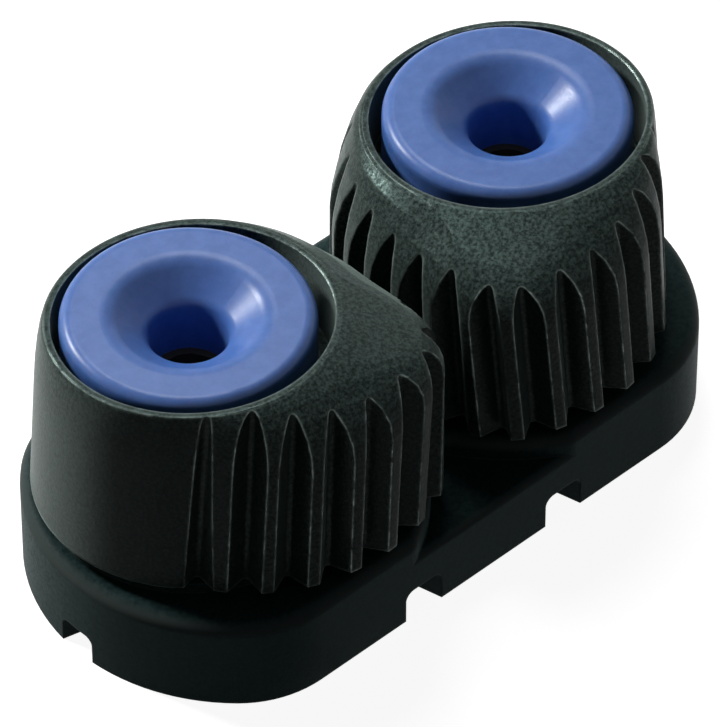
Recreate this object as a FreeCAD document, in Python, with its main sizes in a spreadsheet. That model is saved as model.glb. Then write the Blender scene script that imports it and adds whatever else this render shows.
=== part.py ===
"""Cam cleat for sheets and halyards: two toothed cams that turn on ball rows and grip a line.

Frame: millimetres, Z up. The origin is on the deck face, midway between the two fastener holes.
X runs from the left pivot to the right one. The line runs along Y: it is hauled towards -Y,
where the cam noses point, and the load pulls it towards +Y, which shuts the cams.
"""
import FreeCAD, Part
import math
import os

doc = FreeCAD.newDocument("cam_cleat")
Vector = FreeCAD.Vector

# Driving dimensions, in millimetres and degrees. Every name is a cell of the sheet.
DIMENSIONS = {
    # Fasteners and pivots
    "pivot_spacing": 38.0,
    "fastener_radius": 2.75,
    # Base outline: straight sides, large end arcs, smaller corner arcs
    "base_length": 68.5,
    "base_width": 34.1,
    "base_setback": 1.65,
    "end_arc_radius": 19.4,
    "corner_arc_radius": 10.7,
    "plate_height": 7.2,
    "plate_edge_radius": 0.7,
    # Raised boss at each end, with a round stand on it for the ball row
    "boss_radius": 21.0,
    "boss_height": 9.4,
    "boss_edge_radius": 1.2,
    "boss_corner_radius": 2.0,
    "stand_radius": 13.4,
    "stand_height": 10.5,
    # Notches in the lower edge of the base and cores in its underside
    "side_notch_offset": 8.5,
    "side_notch_width": 4.3,
    "side_notch_height": 3.4,
    "end_notch_width": 3.9,
    "end_notch_height": 2.9,
    "notch_depth": 3.6,
    "notch_taper": 0.55,
    "notch_arch": 0.45,
    "core_inner_radius": 9.3,
    "core_width": 3.4,
    "core_depth": 4.2,
    "middle_core_width": 4.6,
    "middle_core_length": 22.0,
    # Post: a tube with a foot flange, let into the base from below
    "post_radius": 5.0,
    "post_height": 22.6,
    "foot_radius": 7.6,
    "foot_height": 1.5,
    # Ball rows and their rings
    "ball_radius": 1.5875,
    "ball_clearance": 0.1,
    "lower_row_radius": 10.2,
    "lower_ball_count": 18,
    "lower_ring_depth": 2.2,
    "ring_wall": 2.0,
    "upper_row_radius": 9.2,
    "upper_ball_count": 16,
    "upper_ring_depth": 1.9,
    "upper_ring_inset": 0.2,
    "cup_rise": 0.1,
    "row_gap": 0.3,
    # Cap: a disc with a smooth funnel down to the fastener
    "cap_radius": 11.2,
    "cap_height": 7.7,
    "cap_edge_radius": 1.1,
    "hub_radius": 6.95,
    "hub_drop": 2.2,
    "funnel_mouth_radius": 6.9,
    "funnel_mouth_round": 2.5,
    "funnel_slope_angle": 37.0,
    "throat_radius": 3.47,
    "throat_round": 1.55,
    # Torsion spring round the post
    "wire_radius": 0.5,
    "coil_radius": 6.2,
    "least_coil_pitch": 1.6,
    "part_turn": 0.25,
    "coil_clearance": 0.1,
    "leg_reach": 1.7,
    # Cam outline, seen from above, about its pivot
    "wall_radius": 14.2,
    "nose_radius": 22.5,
    "front_start_angle": -129.0,
    "nose_angle": -46.0,
    "throat_end_angle": 125.0,
    "throat_fall": 2.4,
    # Cam height, lean of its walls and its sloping top
    "floor_thickness": 3.1,
    "wall_lean": 1.1,
    "rim_tilt": 0.068,
    "rim_high_angle": -104.0,
    "shoulder_slope": 0.3,
    "wall_shoulder": 6.0,
    "nose_shoulder": 3.0,
    "throat_shoulder": 8.0,
    "shoulder_limit": 0.9,
    "wall_fullness": 0.7,
    "throat_fullness": 0.35,
    "nose_spread": 24.0,
    "throat_middle_angle": 45.0,
    "throat_spread": 50.0,
    "opening_radius": 12.3,
    "opening_offset_x": 0.3,
    "opening_offset_y": -0.24,
    "rim_drop": 0.6,
    "rim_width": 0.55,
    "pocket_radius": 7.3,
    "bore_clearance": 0.05,
    # Tooth flutes round the gripping side
    "flute_pitch": 4.1,
    "flute_depth": 1.8,
    "flute_half_angle": 37.0,
    "flute_root_radius": 0.4,
    "flute_twist": 4.5,
    "first_flute_angle": -130.0,
    "last_flute_angle": 52.0,
}

# How far a cutter reaches past the surface that it cuts, and how finely the cam's curves are sampled
OVERCUT = 1.5
COLUMN_STEP = 10
SHOULDER_STEPS = 5
WALK_STEP = 0.25

sheet = doc.addObject("Spreadsheet::Sheet", "dims")
for row, (alias, value) in enumerate(DIMENSIONS.items(), start=1):
    sheet.set("A%d" % row, str(value))
    sheet.setAlias("A%d" % row, alias)
doc.recompute()


def size(alias):
    """The number in one named cell."""
    return float(sheet.get(alias))


def bind(item, **expressions):
    """Bind properties of an object to formulas on the sheet's cells."""
    for prop, formula in expressions.items():
        item.setExpression(prop, formula)
    return item


def place(item, x="0", y="0", z="0"):
    """Bind an object's place to formulas on the sheet's cells."""
    item.setExpression("Placement.Base.x", x)
    item.setExpression("Placement.Base.y", y)
    item.setExpression("Placement.Base.z", z)
    return item


def cylinder(name, radius, height, x="0", y="0", z="0"):
    item = doc.addObject("Part::Cylinder", name)
    bind(item, Radius=radius, Height=height)
    return place(item, x, y, z)


def ring_groove(name, row_radius, x, z):
    """The running track of a ball row: a torus a clearance larger than the balls."""
    item = doc.addObject("Part::Torus", name)
    bind(item, Radius1=row_radius, Radius2="dims.ball_radius + dims.ball_clearance")
    return place(item, x, "0", z)


def box(name, length, width, height, x, y, z):
    item = doc.addObject("Part::Box", name)
    bind(item, Length=length, Width=width, Height=height)
    return place(item, x, y, z)


def fuse(name, *items):
    item = doc.addObject("Part::MultiFuse", name)
    item.Shapes = list(items)
    return item


def cut(name, base, tool):
    item = doc.addObject("Part::Cut", name)
    item.Base = base
    item.Tool = tool
    return item


def common(name, *items):
    item = doc.addObject("Part::MultiCommon", name)
    item.Shapes = list(items)
    return item


def fixed_shape(name, shape):
    item = doc.addObject("Part::Feature", name)
    item.Shape = shape
    return item


SIDES = {"left": -1, "right": 1}
CAM_BOTTOM = "dims.stand_height + dims.row_gap"
LOWER_ROW_Z = "dims.stand_height + dims.row_gap / 2"
CAM_FLOOR = CAM_BOTTOM + " + dims.floor_thickness"
CUP_FLOOR = "dims.post_height + dims.cup_rise"
UPPER_ROW_Z = CUP_FLOOR + " + dims.row_gap / 2"
UPPER_RING_Z = CUP_FLOOR + " + dims.row_gap"
HUB_Z = "dims.post_height - dims.hub_drop"
CAP_TOP = "dims.post_height + dims.cap_height"


def pivot_x(sign):
    return "%d * dims.pivot_spacing / 2" % sign


def edges_where(shape, test):
    return [i for i, edge in enumerate(shape.Edges, start=1) if test(edge)]


def rounded(name, base, radius, test):
    """A fillet on every edge of the base that passes the test."""
    doc.recompute()
    item = doc.addObject("Part::Fillet", name)
    item.Base = base
    item.Edges = [(i, radius, radius) for i in edges_where(base.Shape, test)]
    return item


def is_upright(edge):
    low, high = edge.BoundBox.ZMin, edge.BoundBox.ZMax
    flat = edge.BoundBox.XLength < 0.01 and edge.BoundBox.YLength < 0.01
    return flat and high - low > 1.0


# Base


def base_outline_block():
    """The base's outline as an upright block: arcs at the ends, rounded where they meet the sides."""
    centre = "dims.base_length / 2 - dims.end_arc_radius"
    depth = "dims.boss_height"
    setback = "-dims.base_setback"
    ends = []
    for side, sign in SIDES.items():
        x = "%d * (%s)" % (sign, centre)
        ends.append(cylinder("end_arc_" + side, "dims.end_arc_radius", depth, x, setback))
    middle = box("middle_block", "2 * (%s)" % centre, "2 * dims.end_arc_radius", depth,
                 "-(%s)" % centre, "-dims.base_setback - dims.end_arc_radius", "0")
    sides = box("side_limits", "dims.base_length", "dims.base_width", depth,
                "-dims.base_length / 2", "-dims.base_setback - dims.base_width / 2", "0")
    block = common("outline_corners", fuse("outline_ends", middle, *ends), sides)
    return rounded("outline_block", block, size("corner_arc_radius"), is_upright)


def notch(width, height):
    """A notch in the lower edge: arched over, and narrower towards its inner end.

    It points along +Y from its mouth, which is on the XZ plane.
    """
    depth = size("notch_depth")
    half = width / 2
    inner = half * size("notch_taper")
    arch = min(half, height) * size("notch_arch")

    def section(y, w):
        a = arch * w / half
        left = Vector(-w, y, -OVERCUT)
        right = Vector(w, y, -OVERCUT)
        left_top = Vector(-w, y, height - a)
        right_top = Vector(w, y, height - a)
        middle_left = Vector(-w + a, y, height)
        middle_right = Vector(w - a, y, height)
        swing = a * (1 - math.sqrt(0.5))
        left_bend = Vector(-w + swing, y, height - swing)
        right_bend = Vector(w - swing, y, height - swing)
        edges = [
            Part.LineSegment(left, left_top).toShape(),
            Part.Arc(left_top, left_bend, middle_left).toShape(),
            Part.LineSegment(middle_left, middle_right).toShape(),
            Part.Arc(middle_right, right_bend, right_top).toShape(),
            Part.LineSegment(right_top, right).toShape(),
            Part.LineSegment(right, left).toShape(),
        ]
        return Part.Wire(edges)

    mouth_width = half + (half - inner) * OVERCUT / depth
    return Part.makeLoft([section(-OVERCUT, mouth_width), section(depth, inner)], True, True)


def notches():
    """Two notches in each long side and one in each end, mirrored about the base's centre."""
    side = notch(size("side_notch_width"), size("side_notch_height"))
    end = notch(size("end_notch_width"), size("end_notch_height"))
    setback = size("base_setback")
    half_width = size("base_width") / 2
    half_length = size("base_length") / 2
    up = Vector(0, 0, 1)
    items = []
    for sign in (-1, 1):
        x = sign * size("side_notch_offset")
        front = side.copy()
        front.translate(Vector(x, -setback - half_width, 0))
        back = side.copy()
        back.rotate(Vector(0, 0, 0), up, 180)
        back.translate(Vector(x, half_width - setback, 0))
        tip = end.copy()
        tip.rotate(Vector(0, 0, 0), up, 90 * sign)
        tip.translate(Vector(sign * half_length, -setback, 0))
        items += [front, back, tip]
    return fixed_shape("notch_cutters", Part.makeCompound(items))


def is_top_edge(height):
    """A test for the edges that lie flat at one height."""
    return lambda edge: abs(edge.BoundBox.ZMin - height) < 0.001


def is_boss_corner(edge):
    """Upright edges where a boss's round wall meets the outline or the other boss."""
    middle = edge.BoundBox.Center
    from_pivot = math.hypot(abs(middle.x) - size("pivot_spacing") / 2, middle.y)
    return is_upright(edge) and abs(from_pivot - size("boss_radius")) < 0.001


def make_base():
    """The moulded base: a low plate, a raised boss at each end with a stand on it, and the bores."""
    block = base_outline_block()
    plate_limit = box("plate_limit", "dims.base_length", "2 * dims.base_width", "dims.plate_height",
                      "-dims.base_length / 2", "-dims.base_setback - dims.base_width", "0")
    plate = common("plate", block, plate_limit)
    boss_limits = [cylinder("boss_limit_" + side, "dims.boss_radius", "dims.boss_height", pivot_x(sign))
                   for side, sign in SIDES.items()]
    bosses = common("bosses", block, fuse("boss_limits", *boss_limits))
    bosses = rounded("boss_corners", bosses, size("boss_corner_radius"), is_boss_corner)
    solids = [
        rounded("plate_soft", plate, size("plate_edge_radius"), is_top_edge(size("plate_height"))),
        rounded("bosses_soft", bosses, size("boss_edge_radius"), is_top_edge(size("boss_height"))),
    ]
    tools = [notches()]
    for side, sign in SIDES.items():
        x = pivot_x(sign)
        solids.append(cylinder("stand_" + side, "dims.stand_radius", "dims.stand_height", x))
        tools.append(cylinder("post_hole_" + side, "dims.post_radius", "dims.stand_height", x))
        tools.append(cylinder("foot_recess_" + side, "dims.foot_radius", "dims.foot_height", x))
        ring = cylinder("ring_recess_" + side, "dims.lower_row_radius + dims.ring_wall",
                        "dims.lower_ring_depth", x, "0", "dims.stand_height - dims.lower_ring_depth")
        ring_core = cylinder("ring_island_" + side, "dims.lower_row_radius - dims.ring_wall",
                             "dims.lower_ring_depth", x, "0", "dims.stand_height - dims.lower_ring_depth")
        tools.append(cut("ring_seat_" + side, ring, ring_core))
        core = cylinder("core_outer_" + side, "dims.core_inner_radius + dims.core_width",
                        "dims.core_depth", x)
        island = cylinder("core_island_" + side, "dims.core_inner_radius", "dims.core_depth", x)
        tools.append(cut("core_" + side, core, island))
    tools.append(box("middle_core", "dims.middle_core_width", "dims.middle_core_length", "dims.core_depth",
                     "-dims.middle_core_width / 2", "-dims.base_setback - dims.middle_core_length / 2", "0"))
    return cut("base", fuse("base_blank", *solids), fuse("base_cutters", *tools))


# Posts, rings and ball rows


def make_post(side, sign):
    """A steel tube with a foot flange. The fastener passes through it and clamps it to the deck."""
    x = pivot_x(sign)
    tube = cylinder("tube_" + side, "dims.post_radius", "dims.post_height", x)
    foot = cylinder("foot_" + side, "dims.foot_radius", "dims.foot_height", x)
    bore = cylinder("bore_" + side, "dims.fastener_radius", "dims.post_height", x)
    return cut("post_" + side, fuse("post_blank_" + side, tube, foot), bore)


def make_lower_ring(side, sign):
    """The steel track let into the stand, under the lower ball row."""
    x = pivot_x(sign)
    z = "dims.stand_height - dims.lower_ring_depth"
    outer = cylinder("lower_outer_" + side, "dims.lower_row_radius + dims.ring_wall",
                     "dims.lower_ring_depth", x, "0", z)
    inner = cylinder("lower_inner_" + side, "dims.lower_row_radius - dims.ring_wall",
                     "dims.lower_ring_depth", x, "0", z)
    groove = ring_groove("lower_track_" + side, "dims.lower_row_radius", x, LOWER_ROW_Z)
    return cut("lower_race_" + side, cut("lower_blank_" + side, outer, inner), groove)


def make_upper_ring(side, sign):
    """The steel track pressed on the cap's hub, over the upper ball row."""
    x = pivot_x(sign)
    outer = cylinder("upper_outer_" + side, "dims.cap_radius - dims.upper_ring_inset",
                     "dims.upper_ring_depth", x, "0", UPPER_RING_Z)
    inner = cylinder("upper_inner_" + side, "dims.hub_radius", "dims.upper_ring_depth", x, "0", UPPER_RING_Z)
    groove = ring_groove("upper_track_" + side, "dims.upper_row_radius", x, UPPER_ROW_Z)
    return cut("upper_race_" + side, cut("upper_blank_" + side, outer, inner), groove)


def make_balls(name, sign, count, row_radius, z):
    """One row of loose balls, evenly spaced round the pivot."""
    balls = []
    for i in range(int(size(count))):
        ball = doc.addObject("Part::Sphere", "%s_%d" % (name, i))
        bind(ball, Radius="dims.ball_radius")
        turn = "(%d + 0.5) * 360 / dims.%s" % (i, count)
        place(ball, "%s + %s * cos(%s)" % (pivot_x(sign), row_radius, turn),
              "%s * sin(%s)" % (row_radius, turn), z)
        balls.append(ball)
    row = doc.addObject("Part::Compound", name)
    row.Links = balls
    return row


# Caps


def make_cap(side, sign):
    """A disc with a rounded rim, a smooth funnel to the fastener, and a hub that sits on the post."""
    radius = size("cap_radius")
    top = size("post_height") + size("cap_height")
    edge = size("cap_edge_radius")
    ring_z = size("post_height") + size("cup_rise") + size("row_gap")
    disc_z = ring_z + size("upper_ring_depth")
    hub = size("hub_radius")
    hub_z = size("post_height") - size("hub_drop")
    post = size("post_radius")
    post_top = size("post_height")
    throat = size("throat_radius")
    throat_round = size("throat_round")
    mouth_round = size("funnel_mouth_round")
    slope = math.radians(size("funnel_slope_angle"))

    def at(r, z):
        return Vector(r, 0, z)

    def arc(centre_r, centre_z, r, start, end):
        """An arc of the section, from one angle to another, in radians from the +r direction."""
        ends = [at(centre_r + r * math.cos(a), centre_z + r * math.sin(a))
                for a in (start, (start + end) / 2, end)]
        return Part.Arc(*ends).toShape()

    up, inward = math.pi / 2, math.pi
    mouth_r = size("funnel_mouth_radius") + mouth_round * math.tan(slope / 2)
    throat_r = throat + throat_round
    drop = (size("funnel_mouth_radius") - throat_r + throat_round * math.sin(slope)) * math.tan(slope)
    throat_z = top - drop - throat_round * math.cos(slope)
    edges = [
        arc(radius - edge, top - edge, edge, 0, up),
        Part.LineSegment(at(radius - edge, top), at(mouth_r, top)).toShape(),
        arc(mouth_r, top - mouth_round, mouth_round, up, up + slope),
        Part.LineSegment(at(mouth_r - mouth_round * math.sin(slope),
                            top - mouth_round * (1 - math.cos(slope))),
                         at(throat_r - throat_round * math.sin(slope), top - drop)).toShape(),
        arc(throat_r, throat_z, throat_round, up + slope, inward),
    ]
    points = [at(throat, throat_z), at(throat, post_top), at(post, post_top), at(post, hub_z),
              at(hub, hub_z), at(hub, disc_z), at(radius, disc_z), at(radius, top - edge)]
    edges += [Part.LineSegment(a, b).toShape() for a, b in zip(points, points[1:])]
    wire = Part.Wire(Part.__sortEdges__(edges))
    shape = Part.Face(wire).revolve(Vector(0, 0, 0), Vector(0, 0, 1), 360)
    blank = fixed_shape("cap_blank_" + side, shape)
    place(blank, pivot_x(sign))
    leg_hole = cylinder("cap_leg_hole_" + side, "dims.wire_radius + dims.coil_clearance",
                        "dims.leg_reach + dims.coil_clearance",
                        "%s + %d * dims.coil_radius * cos(dims.part_turn * 360)" % (pivot_x(sign), -sign),
                        "dims.coil_radius * sin(dims.part_turn * 360)", HUB_Z)
    return cut("cap_" + side, blank, leg_hole)


# Cams


def envelope(angle):
    """Radius of the smooth outline that the tooth lands lie on, at an angle in degrees.

    A round wall, a front flank that spirals out to the nose, and a throat flank that falls back.
    """
    wall = size("wall_radius")
    rise = size("nose_radius") - wall
    start = size("front_start_angle")
    nose = size("nose_angle")
    end = size("throat_end_angle")
    if start < angle <= nose:
        return wall + rise * (angle - start) / (nose - start)
    if nose < angle < end:
        return wall + rise * (1 - (angle - nose) / (end - nose)) ** size("throat_fall")
    return wall


def swell(angle, centre, width):
    """A smooth bump from 0 to 1 and back, round one angle."""
    return math.exp(-((angle - centre) / width) ** 2)


def share(angle):
    """How far an angle belongs to the nose, the throat side and the rest, as three shares of one."""
    on_nose = swell(angle, size("nose_angle"), size("nose_spread"))
    on_throat = swell(angle, size("throat_middle_angle"), size("throat_spread")) * (1 - on_nose)
    return on_nose, on_throat, 1 - on_nose - on_throat


def shoulder(angle, bottom, top):
    """Radius and height of the skin's levels at one angle, from the foot of the wall to the rim.

    The wall leans in a little, then a soft shoulder turns it into the sloping top. The shoulder is
    a conic: the fuller it is, the closer it keeps to the corner where the wall would meet the top.
    """
    on_nose, on_throat, on_wall = share(angle)
    a = math.radians(angle)
    along = size("opening_offset_x") * math.cos(a) + size("opening_offset_y") * math.sin(a)
    across = size("opening_offset_y") * math.cos(a) - size("opening_offset_x") * math.sin(a)
    rim_r = along + math.sqrt((size("opening_radius") + size("rim_width")) ** 2 - across ** 2)
    rim_z = top + size("rim_tilt") * rim_r * math.cos(a - math.radians(size("rim_high_angle")))
    foot_r = envelope(angle)
    lean = size("wall_lean") * on_wall
    corner_r = foot_r - lean
    corner_z = rim_z - size("shoulder_slope") * (corner_r - rim_r)
    fall = (size("nose_shoulder") * on_nose + size("throat_shoulder") * on_throat
            + size("wall_shoulder") * on_wall)
    run = min(fall, size("shoulder_limit") * (corner_r - rim_r))
    fullness = on_nose + on_throat * size("throat_fullness") + on_wall * size("wall_fullness")
    start_z = corner_z - fall
    start_r = foot_r - lean * (start_z - bottom) / (corner_z - bottom)
    end_r = corner_r - run
    end_z = corner_z + size("shoulder_slope") * run
    levels = [(foot_r, bottom), (start_r, start_z)]
    for i in range(1, SHOULDER_STEPS + 1):
        t = i / SHOULDER_STEPS
        low, middle, high = (1 - t) ** 2, 2 * t * (1 - t) * fullness, t ** 2
        total = low + middle + high
        levels.append(((low * start_r + middle * corner_r + high * end_r) / total,
                       (low * start_z + middle * corner_z + high * end_z) / total))
    levels.append((rim_r, rim_z))
    return levels


def closed_curve(points):
    curve = Part.BSplineCurve()
    curve.interpolate(points, True)
    return Part.Wire([curve.toShape()])


def cam_skin(bottom, top):
    """The cam's outer form: a loft through closed curves, up to the rim round the opening."""
    angles = range(-180, 180, COLUMN_STEP)
    columns = [shoulder(angle, bottom, top) for angle in angles]
    sections = []
    for level in zip(*columns):
        points = []
        for angle, (radius, z) in zip(angles, level):
            a = math.radians(angle)
            points.append(Vector(radius * math.cos(a), radius * math.sin(a), z))
        sections.append(closed_curve(points))
    return Part.makeLoft(sections, True, True)


def flute_angles():
    """Angles of the flutes: equal steps along the envelope from the first to the last."""
    angles = []
    angle = size("first_flute_angle")
    pitch = size("flute_pitch")
    walked = pitch
    while angle < size("last_flute_angle"):
        if walked >= pitch:
            angles.append(angle)
            walked -= pitch
        here, there = envelope(angle), envelope(angle + WALK_STEP)
        walked += math.hypot(there - here, math.radians(WALK_STEP) * (here + there) / 2)
        angle += WALK_STEP
    return angles


def flute(angle, bottom, top):
    """A cutter with a V section and a rounded root, square to the wall.

    It leans in with the wall, and turns towards the nose as it rises, so that the teeth lie aslant.
    Where the wall is thin, the root stays outside the rim round the opening.
    """
    def section(z):
        rise = (z - bottom) / (top - bottom)
        degrees = angle + size("flute_twist") * rise
        on_wall = share(degrees)[2]
        here = envelope(degrees) - size("wall_lean") * on_wall * rise
        ahead, behind = envelope(degrees + WALK_STEP), envelope(degrees - WALK_STEP)
        rate = (ahead - behind) / math.radians(2 * WALK_STEP)
        a = math.radians(degrees)
        normal = a - math.atan2(rate, here)
        out = Vector(math.cos(normal), math.sin(normal), 0)
        across = Vector(-math.sin(normal), math.cos(normal), 0)
        wall = here - size("opening_radius") - size("rim_width")
        root = Vector(here * math.cos(a), here * math.sin(a), z) - out * min(size("flute_depth"), wall)
        half = math.radians(size("flute_half_angle"))
        radius = size("flute_root_radius")
        reach = size("flute_depth") + 2 * OVERCUT
        centre = root + out * radius
        ends = []
        for side in (1, -1):
            inner = centre - out * (radius * math.sin(half)) + across * (side * radius * math.cos(half))
            outer = inner + out * (reach * math.cos(half)) + across * (side * reach * math.sin(half))
            ends.append((inner, outer))
        (inner_near, outer_near), (inner_far, outer_far) = ends
        return Part.Wire([
            Part.LineSegment(outer_near, inner_near).toShape(),
            Part.Arc(inner_near, root, inner_far).toShape(),
            Part.LineSegment(inner_far, outer_far).toShape(),
            Part.LineSegment(outer_far, outer_near).toShape(),
        ])

    return Part.makeLoft([section(bottom - OVERCUT), section(top + OVERCUT)], True, True)


def make_left_cam():
    """The left cam: fluted skin, wide opening for the cap, spring pocket, bore and ball tracks."""
    bottom = size("stand_height") + size("row_gap")
    top = size("post_height") + size("cap_height") - size("rim_drop")
    skin = cam_skin(bottom, top)
    flutes = [flute(angle, bottom, top) for angle in flute_angles()]
    form = fixed_shape("cam_form", skin.cut(flutes))
    x = pivot_x(-1)
    place(form, x)
    tools = [
        cylinder("cam_bore", "dims.post_radius + dims.bore_clearance", CAP_TOP, x),
        cylinder("cam_pocket", "dims.pocket_radius", CAP_TOP, x, "0", CAM_FLOOR),
        cylinder("cam_cup", "dims.opening_radius", CAP_TOP, x + " + dims.opening_offset_x",
                 "dims.opening_offset_y", CUP_FLOOR),
        ring_groove("cam_lower_track", "dims.lower_row_radius", x, LOWER_ROW_Z),
        ring_groove("cam_upper_track", "dims.upper_row_radius", x, UPPER_ROW_Z),
        cylinder("cam_leg_hole", "dims.wire_radius + dims.coil_clearance",
                 "dims.leg_reach + dims.coil_clearance + dims.wire_radius", x + " + dims.coil_radius", "0",
                 CAM_FLOOR + " - dims.leg_reach - dims.coil_clearance"),
    ]
    return cut("cam_left", form, fuse("cam_cutters", *tools))


def mirrored(name, source):
    """The same piece on the right-hand side."""
    item = doc.addObject("Part::Mirroring", name)
    item.Source = source
    item.Base = Vector(0, 0, 0)
    item.Normal = Vector(1, 0, 0)
    return item


# Springs


def make_left_spring():
    """A torsion spring: its lower leg drops into the cam's floor, its upper leg into the cap's hub.

    It has as many whole turns as fit between the two, and the part turn that brings the leg to its hole.
    """
    radius = size("coil_radius")
    wire = size("wire_radius")
    reach = size("leg_reach")
    gap = size("coil_clearance")
    floor = size("stand_height") + size("row_gap") + size("floor_thickness")
    hub_z = size("post_height") - size("hub_drop")
    low = floor + gap + wire
    high = hub_z - gap - wire
    turns = int((high - low) / size("least_coil_pitch")) + size("part_turn")
    pitch = (high - low) / turns
    helix = Part.makeHelix(pitch, high - low, radius)
    section = Part.Wire([Part.makeCircle(wire, Vector(radius, 0, 0), Vector(0, 1, 0))])
    coil = Part.Wire(helix).makePipeShell([section], True, True)
    coil.translate(Vector(0, 0, low))
    turn = math.radians(360 * turns)
    end = Vector(radius * math.cos(turn), radius * math.sin(turn), high)
    start = Vector(radius, 0, low)
    up = Vector(0, 0, 1)
    lower_leg = Part.makeCylinder(wire, reach + gap + wire, start, up * -1)
    upper_leg = Part.makeCylinder(wire, reach + gap + wire, end, up)
    shape = coil.fuse([Part.makeSphere(wire, start), Part.makeSphere(wire, end), lower_leg, upper_leg])
    item = fixed_shape("spring_left", shape.removeSplitter())
    return place(item, pivot_x(-1))


# Assembly

nodes = [make_base()]
for side, sign in SIDES.items():
    nodes.append(make_post(side, sign))
    nodes.append(make_lower_ring(side, sign))
    nodes.append(make_upper_ring(side, sign))
    nodes.append(make_balls("lower_balls_" + side, sign, "lower_ball_count",
                            "dims.lower_row_radius", LOWER_ROW_Z))
    nodes.append(make_balls("upper_balls_" + side, sign, "upper_ball_count",
                            "dims.upper_row_radius", UPPER_ROW_Z))
    nodes.append(make_cap(side, sign))
cam = make_left_cam()
spring = make_left_spring()
nodes += [cam, mirrored("cam_right", cam), spring, mirrored("spring_right", spring)]
doc.recompute()

for item in doc.Objects:
    if "Invalid" in item.State or "Error" in item.State:
        raise RuntimeError("%s failed: %s" % (item.Name, item.State))
for node in nodes:
    node.Label = node.Name
    if node.Shape.isNull() or not node.Shape.isValid():
        raise RuntimeError("%s has no valid shape" % node.Label)

os.makedirs("parts", exist_ok=True)
for node in nodes:
    node.Shape.exportStep("parts/%s.step" % node.Label)
    extent = node.Shape.BoundBox
    print("%-20s solids %2d volume %9.1f  x %6.2f %6.2f  y %6.2f %6.2f  z %6.2f %6.2f" % (
        node.Label, len(node.Shape.Solids), node.Shape.Volume,
        extent.XMin, extent.XMax, extent.YMin, extent.YMax, extent.ZMin, extent.ZMax))
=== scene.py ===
"""Looks of the cam cleat: moulded plastics, satin caps, worked steel, studio light and the camera.

Frame: metres, Z up, origin on the deck midway between the fastener holes. The left cam is at -X
and the noses of the cams point to -Y.
"""
import math

import bpy
from mathutils import Matrix, Vector

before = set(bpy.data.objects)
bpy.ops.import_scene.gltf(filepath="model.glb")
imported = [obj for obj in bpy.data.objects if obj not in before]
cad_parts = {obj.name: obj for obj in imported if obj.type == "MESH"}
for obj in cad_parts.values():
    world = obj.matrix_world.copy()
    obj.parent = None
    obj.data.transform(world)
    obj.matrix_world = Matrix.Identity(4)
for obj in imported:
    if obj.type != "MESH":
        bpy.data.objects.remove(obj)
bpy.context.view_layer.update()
MM = 0.001

# The photograph's view: turned and raised like the camera that was fitted to the round caps
PHOTO_WIDTH = 720
PHOTO_HEIGHT = 727
VIEW_TURN = -42.85
VIEW_RISE = 45.02
VIEW_DISTANCE = 664 * MM
VIEW_SHIFT_RIGHT = 0.84 * MM
VIEW_SHIFT_UP = 7.91 * MM
FOCAL_PIXELS = 7371
SENSOR = 36.0

# Object
PIVOT_X = 19.0 * MM
CENTRE = Vector((0, 0, 15 * MM))

# Softened normals: a softened normal that agrees less than this with the true one is taken as wrong
LEAST_AGREEMENT = 0.5
BEVEL_SAMPLES = 6
# Normals of the mesh's facets stray from the smooth ones by this share at most
FACET_SHARE = 0.012
# The height of a normal times what is left to 1 is a quarter at most, halfway round a fillet
ROUNDING_GAIN = 4.0

# Cam plastic: colours, with painted highlights on ridges and edges, and how much metal-like shine the
# edges, ridges and shoulders get
CAM_DARK = (0.006, 0.011, 0.010)
CAM_LIGHT = (0.041, 0.062, 0.057)
CAM_RIDGE_HIGHLIGHT = (0.13, 0.17, 0.158)
CAM_EDGE_HIGHLIGHT = (0.24, 0.30, 0.28)
CAM_SHEEN_TINT = (0.78, 1.0, 0.93, 1.0)
EDGE_SHINE = 0.38
RIDGE_SHINE = 0.3
SHOULDER_SHINE = 0.45

# Base plastic
BASE_DARK = (0.008, 0.021, 0.021)
BASE_LIGHT = (0.027, 0.050, 0.050)
# Painted highlights on the base's edges and on the roundings of its fillets
BASE_EDGE_HIGHLIGHT = (0.075, 0.096, 0.088)
BASE_ROUNDING_HIGHLIGHT = (0.055, 0.072, 0.069)

# Cap plastic
CAP_DARK = (0.062, 0.145, 0.425)
CAP_LIGHT = (0.082, 0.178, 0.485)
RING_PITCH = 0.9 * MM
RING_SHARE = 0.15

# Steels
# The post is near-black so that the hole down each cap reads black: painted shade
POST_GREY = (0.045, 0.045, 0.045)
RACE_GREY = (0.62, 0.62, 0.60)
BALL_GREY = (0.80, 0.80, 0.79)
WIRE_GREY = (0.55, 0.55, 0.54)
TOOL_MARK = 0.3 * MM
DARKER_MARKS = 0.8

# Floor and studio light
FLOOR_SIZE = 6.0
DIM_BOUNCE = (0.05, 0.05, 0.05)
PALE_SHEET = (0.5, 0.5, 0.5)
FLOOR_GLOW = 0.92
SOFT_LIGHT = 0.018
SOFT_LIGHT_COLOUR = (0.93, 0.97, 1.0, 1)
LAMP_DISTANCE = 0.5
OVERHEAD_COLOUR = (1.0, 1.0, 1.0)
SIDE_COLOUR = (1.0, 0.99, 0.97)


def new_material(name):
    made = bpy.data.materials.new(name)
    made.use_nodes = True
    tree = made.node_tree
    return made, tree, tree.nodes["Principled BSDF"]


def add(tree, kind, label, **values):
    """A node of one kind. Values named like an input set that input, and others set a property."""
    made = tree.nodes.new(kind)
    made.label = label
    for key, value in values.items():
        if key in made.inputs:
            made.inputs[key].default_value = value
        else:
            setattr(made, key, value)
    return made


def join(tree, source, target):
    tree.links.new(source, target)


def settle(shader, **values):
    """Sets the shader's own inputs, named with underscores in place of spaces."""
    for key, value in values.items():
        shader.inputs[key.replace("_", " ")].default_value = value


def calculate(tree, operation, label, *operands, clamp=False):
    """One sum of numbers and other nodes' outputs."""
    made = add(tree, "ShaderNodeMath", label, operation=operation, use_clamp=clamp)
    for socket, operand in zip(made.inputs, operands):
        if isinstance(operand, float):
            socket.default_value = operand
        else:
            join(tree, operand, socket)
    return made.outputs["Value"]


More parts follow.
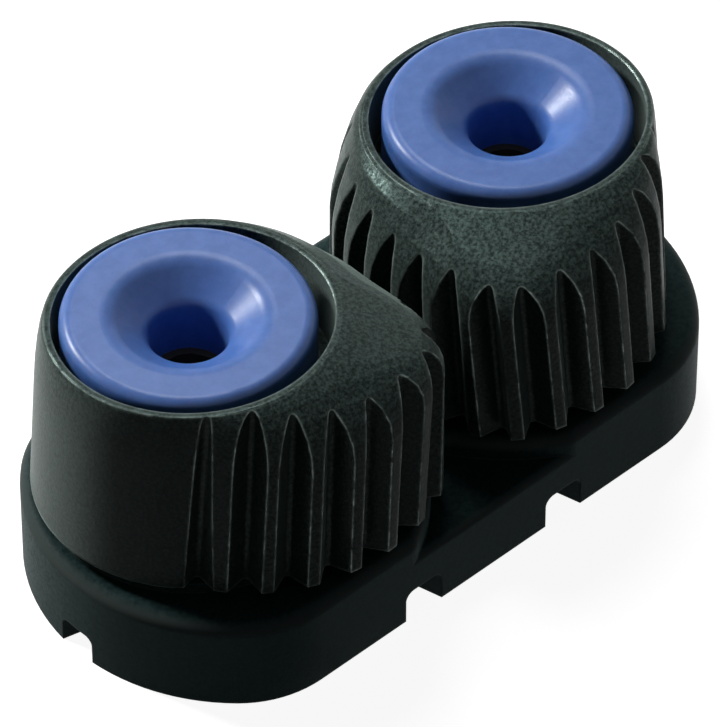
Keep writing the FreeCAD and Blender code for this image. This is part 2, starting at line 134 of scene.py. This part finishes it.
def map_range(tree, value, label, start, end, low, high):
    """Maps start to end onto low to high, and holds what lies outside."""
    made = add(tree, "ShaderNodeMapRange", label, clamp=True)
    made.inputs["From Min"].default_value = start
    made.inputs["From Max"].default_value = end
    made.inputs["To Min"].default_value = low
    made.inputs["To Max"].default_value = high
    join(tree, value, made.inputs["Value"])
    return made.outputs["Result"]


def spread(tree, value, low, high, label, start=0.35, end=0.65):
    """Stretches a noise value's middle onto low to high."""
    return map_range(tree, value, label, start, end, low, high)


def noise(tree, label, grain, detail, roughness):
    """Solid noise whose blobs are about one grain, in metres, across."""
    place = add(tree, "ShaderNodeTexCoord", "object position")
    made = add(tree, "ShaderNodeTexNoise", label, Scale=1.0 / grain, Detail=detail, Roughness=roughness)
    join(tree, place.outputs["Object"], made.inputs["Vector"])
    return made.outputs["Fac"]


def blend_colours(tree, factor, first, second, label):
    """The first colour where the factor is 0 and the second where it is 1."""
    made = add(tree, "ShaderNodeMix", label, data_type="RGBA")
    join(tree, factor, made.inputs["Factor"])
    for socket, colour in (("A", first), ("B", second)):
        target = [i for i in made.inputs if i.name == socket and i.type == "RGBA"][0]
        if isinstance(colour, tuple):
            target.default_value = (*colour, 1.0)
        else:
            join(tree, colour, target)
    return [o for o in made.outputs if o.type == "RGBA"][0]


def agreement(tree, normal):
    """The mesh's true normal, and how well another agrees with it: 1 where they are the same."""
    true = add(tree, "ShaderNodeNewGeometry", "true normal").outputs["True Normal"]
    dot = add(tree, "ShaderNodeVectorMath", "agreement", operation="DOT_PRODUCT")
    join(tree, normal, dot.inputs[0])
    join(tree, true, dot.inputs[1])
    return true, dot.outputs["Value"]


def soft_normal(tree, radius, label):
    """The normal of a surface whose sharp edges are rounded by a radius.

    Where it is far off, as on a sliver of the mesh, the true normal takes its place.
    """
    soft = add(tree, "ShaderNodeBevel", label, Radius=radius, samples=BEVEL_SAMPLES).outputs["Normal"]
    true, match = agreement(tree, soft)
    astray = calculate(tree, "LESS_THAN", "far off", match, LEAST_AGREEMENT)
    steady = add(tree, "ShaderNodeMix", "steady normal", data_type="VECTOR")
    first, second = [i for i in steady.inputs if i.type == "VECTOR" and i.name in ("A", "B")]
    join(tree, astray, steady.inputs["Factor"])
    join(tree, soft, first)
    join(tree, true, second)
    return [o for o in steady.outputs if o.type == "VECTOR"][0]


def add_relief(tree, shader, normal, height, strength, distance):
    """Adds the surface's own small relief to a softened normal."""
    relief = add(tree, "ShaderNodeBump", "relief", Strength=strength, Distance=distance)
    join(tree, height, relief.inputs["Height"])
    join(tree, normal, relief.inputs["Normal"])
    join(tree, relief.outputs["Normal"], shader.inputs["Normal"])


# Where the painted edge and ridge highlights go
def edge_highlight_share(tree, normal, full_at):
    """From 0 on flat faces to 1 on edges, where the softened normal leaves the true one.

    It is 1 where the two disagree by the share full_at or more.
    """
    match = agreement(tree, normal)[1]
    return map_range(tree, match, "edge share", 1.0 - FACET_SHARE, 1.0 - full_at, 0.0, 1.0)


def normal_height(tree):
    """1 on level faces, 0 on walls, and less on faces that look down."""
    face = add(tree, "ShaderNodeNewGeometry", "face direction")
    split = add(tree, "ShaderNodeSeparateXYZ", "its height")
    join(tree, face.outputs["Normal"], split.inputs["Vector"])
    return split.outputs["Z"]


def rounding_share(tree):
    """From 0 on level and upright faces to 1 halfway round the fillets between them."""
    height = normal_height(tree)
    rest = calculate(tree, "SUBTRACT", "short of level", 1.0, height)
    both = calculate(tree, "MULTIPLY", "between the two", height, rest)
    return calculate(tree, "MULTIPLY", "rounding share", both, ROUNDING_GAIN, clamp=True)


def upward_share(tree, most):
    """From 0 on walls to a most on faces that look up."""
    return spread(tree, normal_height(tree), 0.0, most, "upward share", start=0.1, end=0.9)


def cam_plastic():
    """Black fibre-filled plastic: mottled, with painted highlights on ridges and edges, and shine on
    edges and shoulders.
    """
    made, tree, shader = new_material("cam_plastic")
    mottle = noise(tree, "mottle", grain=0.35 * MM, detail=5.0, roughness=0.75)
    grain = noise(tree, "fibre grain", grain=0.25 * MM, detail=2.0, roughness=0.6)
    body = blend_colours(tree, spread(tree, mottle, 0.0, 1.0, "mottle range", start=0.41, end=0.61),
                         CAM_DARK, CAM_LIGHT, "mottled body")
    add_relief(tree, shader, soft_normal(tree, 0.5 * MM, "soft skin"), grain,
               strength=0.4, distance=0.05 * MM)
    edge = soft_normal(tree, 0.26 * MM, "thin edges")
    ridge = soft_normal(tree, 0.6 * MM, "whole ridges")
    # Painted highlights: a paler colour on ridges and edges, in uneven patches, stands in for the lamps'
    # glints there
    highlight_patches = spread(tree, noise(tree, "highlight_patches", grain=1.1 * MM, detail=4.0, roughness=0.7),
                     0.15, 1.0, "highlight patch range")
    ridge_highlight = calculate(tree, "MULTIPLY", "uneven ridge highlights", edge_highlight_share(tree, ridge, full_at=0.2), highlight_patches)
    edge_highlight = calculate(tree, "MULTIPLY", "uneven edge highlights", edge_highlight_share(tree, edge, full_at=0.12), highlight_patches)
    lands = blend_colours(tree, ridge_highlight, body, CAM_RIDGE_HIGHLIGHT, "painted ridge highlights")
    highlit = blend_colours(tree, edge_highlight, lands, CAM_EDGE_HIGHLIGHT, "painted edge highlights")
    join(tree, highlit, shader.inputs["Base Color"])
    # Metal-like shine on edges, ridges and upward faces, so that the lamps leave highlights there
    ridges = calculate(tree, "MULTIPLY", "shine of the ridges", ridge_highlight, RIDGE_SHINE)
    with_highlights = calculate(tree, "MULTIPLY_ADD", "and of the edges", edge_highlight, EDGE_SHINE, ridges)
    shine = calculate(tree, "ADD", "and of the shoulders", with_highlights, upward_share(tree, SHOULDER_SHINE))
    join(tree, shine, shader.inputs["Metallic"])
    join(tree, spread(tree, grain, 0.28, 0.39, "roughness range"), shader.inputs["Roughness"])
    settle(shader, Specular_IOR_Level=0.03, Sheen_Weight=0.32, Sheen_Roughness=0.45,
           Sheen_Tint=CAM_SHEEN_TINT)
    return made


def base_plastic():
    """Smoother near-black moulding plastic with a faint flow mottle, and painted highlights on its edges
    and roundings.
    """
    made, tree, shader = new_material("base_plastic")
    flow = noise(tree, "flow marks", grain=0.5 * MM, detail=5.0, roughness=0.7)
    grain = noise(tree, "fine grain", grain=0.22 * MM, detail=2.0, roughness=0.6)
    body = blend_colours(tree, spread(tree, flow, 0.0, 1.0, "flow range"), BASE_DARK, BASE_LIGHT, "body")
    normal = soft_normal(tree, 0.25 * MM, "soft edges")
    add_relief(tree, shader, normal, grain, strength=0.3, distance=0.03 * MM)
    # Painted highlights: a paler colour on edges and halfway round the fillets
    highlit = blend_colours(tree, edge_highlight_share(tree, normal, full_at=0.15), body, BASE_EDGE_HIGHLIGHT, "painted edge highlights")
    with_highlights = blend_colours(tree, rounding_share(tree), highlit, BASE_ROUNDING_HIGHLIGHT, "painted rounding highlights")
    join(tree, with_highlights, shader.inputs["Base Color"])
    join(tree, spread(tree, grain, 0.45, 0.58, "roughness range"), shader.inputs["Roughness"])
    settle(shader, Specular_IOR_Level=0.03)
    return made


def pivot_radius(tree, x):
    """Distance from one pivot's axis."""
    place = add(tree, "ShaderNodeTexCoord", "object position")
    shift = add(tree, "ShaderNodeVectorMath", "from the pivot", operation="SUBTRACT")
    shift.inputs[1].default_value = (x, 0, 0)
    flat = add(tree, "ShaderNodeVectorMath", "flattened", operation="MULTIPLY")
    flat.inputs[1].default_value = (1, 1, 0)
    length = add(tree, "ShaderNodeVectorMath", "radius", operation="LENGTH")
    join(tree, place.outputs["Object"], shift.inputs[0])
    join(tree, shift.outputs["Vector"], flat.inputs[0])
    join(tree, flat.outputs["Vector"], length.inputs[0])
    return length.outputs["Value"]


def ring_waves(tree, radius, pitch):
    """Faint concentric waves, as the turned mould leaves them."""
    phase = calculate(tree, "MULTIPLY", "ring phase", radius, 2 * math.pi / pitch)
    return calculate(tree, "SINE", "ring wave", phase)


def cap_plastic(side, x):
    """Satin blue plastic with a little cloudiness and faint rings from the turned mould."""
    made, tree, shader = new_material("cap_plastic_" + side)
    cloud = noise(tree, "cloudiness", grain=1.6 * MM, detail=4.0, roughness=0.65)
    grain = noise(tree, "fine grain", grain=0.16 * MM, detail=2.0, roughness=0.6)
    body = blend_colours(tree, spread(tree, cloud, 0.0, 1.0, "cloud range"),
                         CAP_DARK, CAP_LIGHT, "cloudy blue")
    rings = ring_waves(tree, pivot_radius(tree, x), RING_PITCH)
    mixed = calculate(tree, "MULTIPLY_ADD", "grain and rings", rings, RING_SHARE, grain)
    normal = soft_normal(tree, 0.2 * MM, "soft edges")
    add_relief(tree, shader, normal, mixed, strength=0.2, distance=0.02 * MM)
    join(tree, body, shader.inputs["Base Color"])
    join(tree, spread(tree, grain, 0.29, 0.38, "roughness range"), shader.inputs["Roughness"])
    settle(shader, Specular_IOR_Level=0.3, Subsurface_Weight=0.4, Subsurface_Scale=1.5 * MM)
    return made


def steel(name, colour, rough_low, rough_high, stretch):
    """Worked steel: fine marks, drawn together along Z by a stretch, that change its tone and gloss."""
    made, tree, shader = new_material(name)
    place = add(tree, "ShaderNodeTexCoord", "object position")
    squeeze = add(tree, "ShaderNodeMapping", "tool direction")
    squeeze.inputs["Scale"].default_value = (1.0, 1.0, stretch)
    marks = add(tree, "ShaderNodeTexNoise", "tool marks", Scale=1.0 / TOOL_MARK, Detail=3.0)
    join(tree, place.outputs["Object"], squeeze.inputs["Vector"])
    join(tree, squeeze.outputs["Vector"], marks.inputs["Vector"])
    tone = blend_colours(tree, spread(tree, marks.outputs["Fac"], 0.0, 1.0, "tone range"),
                         tuple(DARKER_MARKS * c for c in colour), colour, "steel tone")
    join(tree, tone, shader.inputs["Base Color"])
    join(tree, spread(tree, marks.outputs["Fac"], rough_low, rough_high, "roughness range"),
         shader.inputs["Roughness"])
    settle(shader, Metallic=1.0)
    return made


def dress(node, material):
    """Shows a CAD node with this material."""
    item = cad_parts[node]
    item.data.materials.clear()
    item.data.materials.append(material)


def dress_all():
    """Base and cams, then each side's cap and hidden steel parts."""
    dress("base", base_plastic())
    cam = cam_plastic()
    post = steel("post_steel", POST_GREY, rough_low=0.45, rough_high=0.6, stretch=6.0)
    race = steel("race_steel", RACE_GREY, rough_low=0.18, rough_high=0.3, stretch=4.0)
    ball = steel("ball_steel", BALL_GREY, rough_low=0.05, rough_high=0.12, stretch=1.0)
    wire = steel("spring_steel", WIRE_GREY, rough_low=0.25, rough_high=0.4, stretch=1.0)
    for side, x in (("left", -PIVOT_X), ("right", PIVOT_X)):
        dress("cam_" + side, cam)
        dress("cap_" + side, cap_plastic(side, x))
        dress("post_" + side, post)
        dress("lower_race_" + side, race)
        dress("upper_race_" + side, race)
        dress("lower_balls_" + side, ball)
        dress("upper_balls_" + side, ball)
        dress("spring_" + side, wire)


def seen_share(tree):
    """1 for camera, glossy and transmission rays, and 0 for the rays that light the object."""
    path = add(tree, "ShaderNodeLightPath", "ray kind")
    first = calculate(tree, "MAXIMUM", "camera or glossy",
                      path.outputs["Is Camera Ray"], path.outputs["Is Glossy Ray"])
    return calculate(tree, "MAXIMUM", "or transmission", first, path.outputs["Is Transmission Ray"])


def make_floor():
    """A pale sheet that reads as white, and keeps a faint shadow under the object."""
    bpy.ops.mesh.primitive_plane_add(size=FLOOR_SIZE, location=(0, 0, 0))
    floor = bpy.context.object
    floor.name = "floor"
    made, tree, shader = new_material("floor_pale")
    shown = seen_share(tree)
    tone = blend_colours(tree, shown, DIM_BOUNCE, PALE_SHEET, "dim bounce, pale sheet")
    join(tree, tone, shader.inputs["Base Color"])
    settle(shader, Roughness=0.9, Specular_IOR_Level=0.0)
    glow = add(tree, "ShaderNodeEmission", "white sheet")
    join(tree, calculate(tree, "MULTIPLY", "glow strength", shown, FLOOR_GLOW), glow.inputs["Strength"])
    both = add(tree, "ShaderNodeAddShader", "sheet and its shadow")
    output = tree.nodes["Material Output"]
    join(tree, shader.outputs["BSDF"], both.inputs[0])
    join(tree, glow.outputs["Emission"], both.inputs[1])
    join(tree, both.outputs["Shader"], output.inputs["Surface"])
    floor.data.materials.append(made)


def make_world():
    """White to the camera and in reflections, and a dim soft light on the object."""
    world = bpy.data.worlds.new("studio")
    bpy.context.scene.world = world
    world.use_nodes = True
    tree = world.node_tree
    tree.nodes.clear()
    shown = seen_share(tree)
    white = add(tree, "ShaderNodeBackground", "seen", Color=(1, 1, 1, 1), Strength=1.0)
    soft = add(tree, "ShaderNodeBackground", "soft light", Color=SOFT_LIGHT_COLOUR, Strength=SOFT_LIGHT)
    pick = add(tree, "ShaderNodeMixShader", "seen or lit")
    out = add(tree, "ShaderNodeOutputWorld", "world")
    join(tree, shown, pick.inputs[0])
    join(tree, soft.outputs["Background"], pick.inputs[1])
    join(tree, white.outputs["Background"], pick.inputs[2])
    join(tree, pick.outputs["Shader"], out.inputs["Surface"])


def camera_axes():
    """The photograph's directions to the right, up and back towards the camera."""
    turn, rise = math.radians(VIEW_TURN), math.radians(VIEW_RISE)
    right = Vector((math.cos(turn), math.sin(turn), 0))
    back = Vector((math.sin(turn) * math.cos(rise), -math.cos(turn) * math.cos(rise), math.sin(rise)))
    return right, back.cross(right), back


def make_camera():
    right, up, back = camera_axes()
    data = bpy.data.cameras.new("camera")
    data.sensor_width = SENSOR
    data.lens = FOCAL_PIXELS * SENSOR / max(PHOTO_WIDTH, PHOTO_HEIGHT)
    camera = bpy.data.objects.new("camera", data)
    bpy.context.scene.collection.objects.link(camera)
    place = back * VIEW_DISTANCE + right * VIEW_SHIFT_RIGHT + up * VIEW_SHIFT_UP
    turned = Matrix((right, up, back)).transposed().to_4x4()
    camera.matrix_world = Matrix.Translation(place) @ turned
    bpy.context.scene.camera = camera


def area_light(name, turn, rise, width, power, colour):
    """A soft disc that faces the object.

    The turn is in degrees to the left of the camera, seen from the object, and the rise above the floor.
    """
    right, up, back = camera_axes()
    facing = Vector((back.x, back.y, 0)).normalized()
    turn, rise = math.radians(turn), math.radians(rise)
    level = facing * math.cos(turn) - right * math.sin(turn)
    way = level * math.cos(rise) + Vector((0, 0, 1)) * math.sin(rise)
    data = bpy.data.lights.new(name, "AREA")
    data.shape = "DISK"
    data.size = width
    data.energy = power
    data.color = colour
    light = bpy.data.objects.new(name, data)
    bpy.context.scene.collection.objects.link(light)
    light.location = CENTRE + way * LAMP_DISTANCE
    light.rotation_mode = "QUATERNION"
    light.rotation_quaternion = way.to_track_quat("Z", "Y")


def make_lights():
    """As the photograph's shading shows: a soft disc overhead and behind, and a lamp at the left."""
    area_light("overhead", turn=165, rise=60, width=0.22, power=1.0, colour=OVERHEAD_COLOUR)
    area_light("side", turn=118, rise=33, width=0.1, power=2.25, colour=SIDE_COLOUR)


def main():
    dress_all()
    make_floor()
    make_world()
    make_camera()
    make_lights()
    bpy.context.scene.view_settings.view_transform = "Standard"


main()
